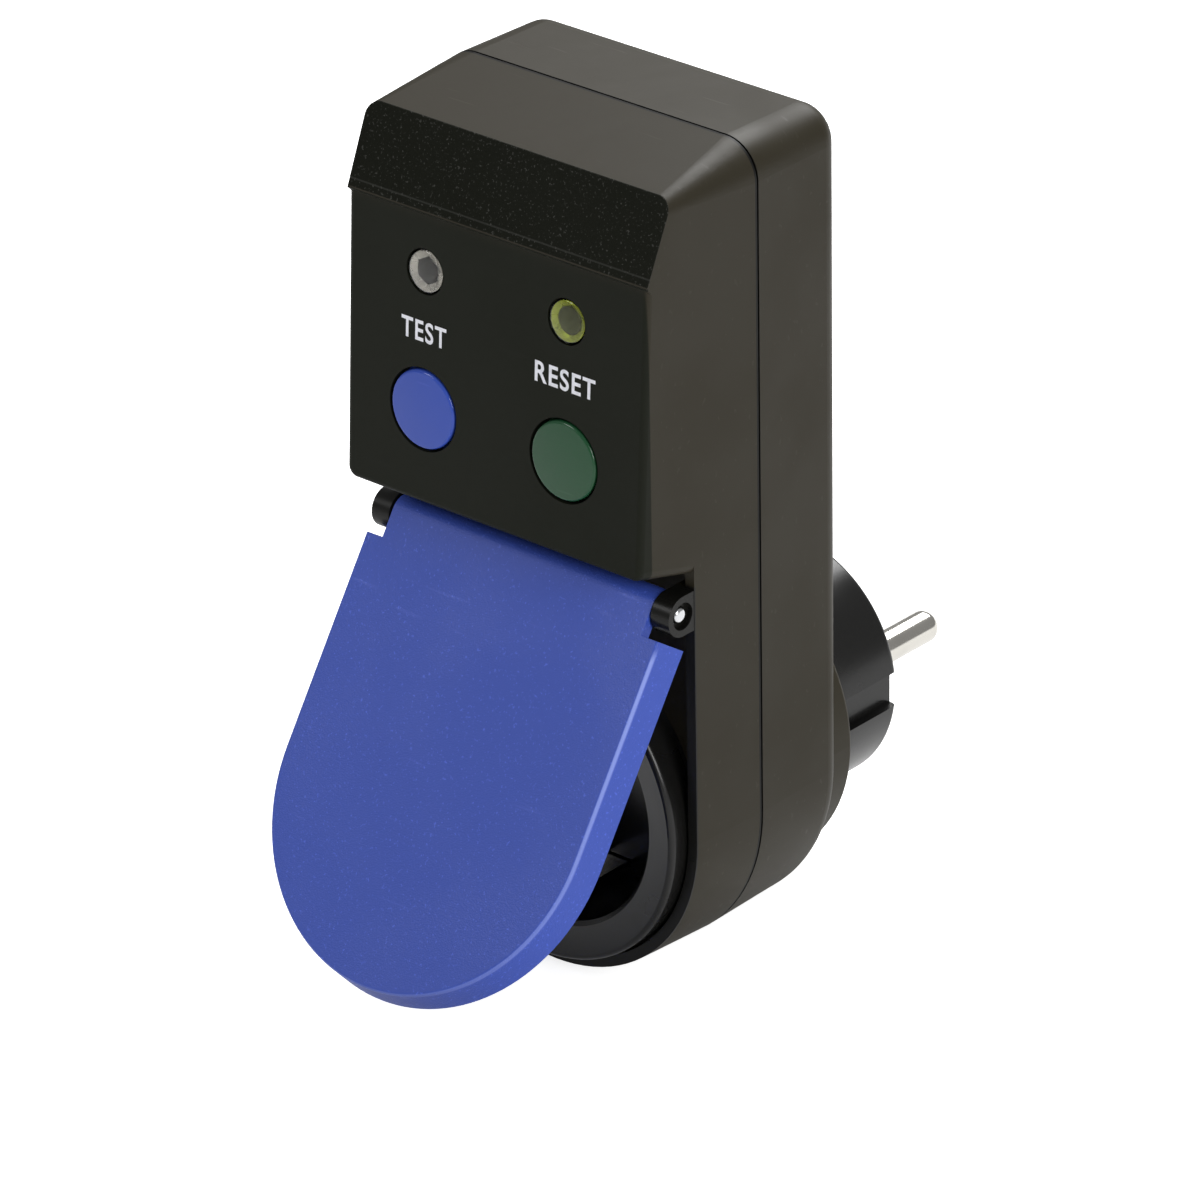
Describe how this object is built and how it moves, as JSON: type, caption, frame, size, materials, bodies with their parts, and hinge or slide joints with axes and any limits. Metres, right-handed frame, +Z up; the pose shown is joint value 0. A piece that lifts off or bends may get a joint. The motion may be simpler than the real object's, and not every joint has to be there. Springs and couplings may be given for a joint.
{
  "type": "rcd adapter plug",
  "caption": "Plug-in residual-current adapter: earthed round plug at the back, earthed socket outlet under a hinged lid in front, test and reset buttons and indicators above.",
  "frame": {"origin": "centre of the plug's end face, midway between the two pins", "axes": "+Y into the wall along the plug's pins, +Z up, +X to the right seen from the front"},
  "size_m": [0.056, 0.1125, 0.129],
  "materials": {
    "black_shell": "satin moulded, fine texture",
    "black_insert": "semi-gloss moulded",
    "seal_rubber": "matt",
    "blue_lid": "fine spark-eroded grain",
    "blue_button": "semi-gloss",
    "green_button": "semi-gloss",
    "clear_lens": "clear",
    "green_lens": "clear, yellow green",
    "steel": "bright",
    "zinc_screw": "zinc plated",
    "brass": "drawn",
    "nickel": "nickel plated",
    "copper_contact": "rolled strip",
    "board": "solder mask",
    "white_plastic": "moulded",
    "copper_wire": "enamelled",
    "iron": "sintered",
    "brown_wire": "insulation",
    "blue_wire": "insulation",
    "part_blue": "epoxy dip",
    "part_yellow": "film box",
    "part_black": "moulded",
    "part_tan": "lacquer"
  },
  "bodies": {
    "housing": {"front_housing": "black_shell", "rear_housing": "black_shell", "housing_gasket": "seal_rubber", "housing_screws": "zinc_screw", "plug_base": "black_insert", "plug_base_screws": "zinc_screw", "line_pin": "nickel", "neutral_pin": "nickel", "plug_earth_strap": "nickel", "outlet_insert": "black_insert", "outlet_gasket": "seal_rubber", "outlet_screws": "zinc_screw", "line_receptacle": "brass", "neutral_receptacle": "brass", "outlet_earth_clips": "nickel", "earth_link": "brass", "hinge_pin": "steel", "lid_spring": "steel", "test_button_spring": "steel", "reset_button_spring": "steel", "test_lens": "clear_lens", "reset_lens": "green_lens", "indicator_leds": "part_tan", "circuit_board": "board", "mechanism_base": "white_plastic", "mechanism_screws": "zinc_screw", "line_contacts": "copper_contact", "neutral_contacts": "copper_contact", "carriage_spring": "steel", "test_contact": "nickel", "coil_bobbin": "white_plastic", "coil_winding": "copper_wire", "coil_yoke": "zinc_screw", "plunger_spring": "steel", "latch_pin": "steel", "transformer_core": "iron", "transformer_winding": "part_yellow", "line_feed_wire": "brown_wire", "neutral_feed_wire": "blue_wire", "line_load_wire": "brown_wire", "neutral_load_wire": "blue_wire", "varistor": "part_blue", "film_capacitor": "part_yellow", "control_chip": "part_black", "resistors": "part_tan"},
    "lid": {"lid": "blue_lid"},
    "test_button": {"test_button": "blue_button"},
    "reset_button": {"reset_button": "green_button"},
    "carriage": {"contact_carriage": "part_black", "contact_bridges": "copper_contact"},
    "plunger": {"trip_plunger": "steel"},
    "latch": {"latch_lever": "zinc_screw"}
  },
  "joints": [
    {"name": "lid_hinge", "type": "hinge", "parent": "housing", "child": "lid", "pos_m": [0, -0.05645, 0.0363], "axis": [-1, 0, 0], "range_deg": [-33.6, 76.4], "stiffness_Nm_per_rad": 0.01, "springref_deg": -33.6},
    {"name": "test_press", "type": "slide", "parent": "housing", "child": "test_button", "axis": [0, 0.9984, -0.0561], "range_m": [0, 0.002], "stiffness_N_per_m": 400, "deforming": ["test_button_spring"]},
    {"name": "reset_press", "type": "slide", "parent": "housing", "child": "reset_button", "axis": [0, 0.9984, -0.0561], "range_m": [0, 0.002], "stiffness_N_per_m": 400, "deforming": ["reset_button_spring"]},
    {"name": "carriage_slide", "type": "slide", "parent": "housing", "child": "carriage", "axis": [0, 0.9984, -0.0561], "range_m": [0, 0.002], "stiffness_N_per_m": 400, "deforming": ["carriage_spring"]},
    {"name": "latch_turn", "type": "hinge", "parent": "housing", "child": "latch", "pos_m": [0, -0.03397, 0.05642], "axis": [0, -0.0561, -0.9984], "range_deg": [0, 15]},
    {"name": "plunger_pull", "type": "slide", "parent": "housing", "child": "plunger", "axis": [-1, 0, 0], "range_m": [0, 0.0015], "stiffness_N_per_m": 200, "deforming": ["plunger_spring"]}
  ],
  "couplings": [
    {"joint": "carriage_slide", "follows": "reset_press", "ratio": 1},
    {"joint": "latch_turn", "follows": "plunger_pull", "rad_per_m": 166.67}
  ]
}
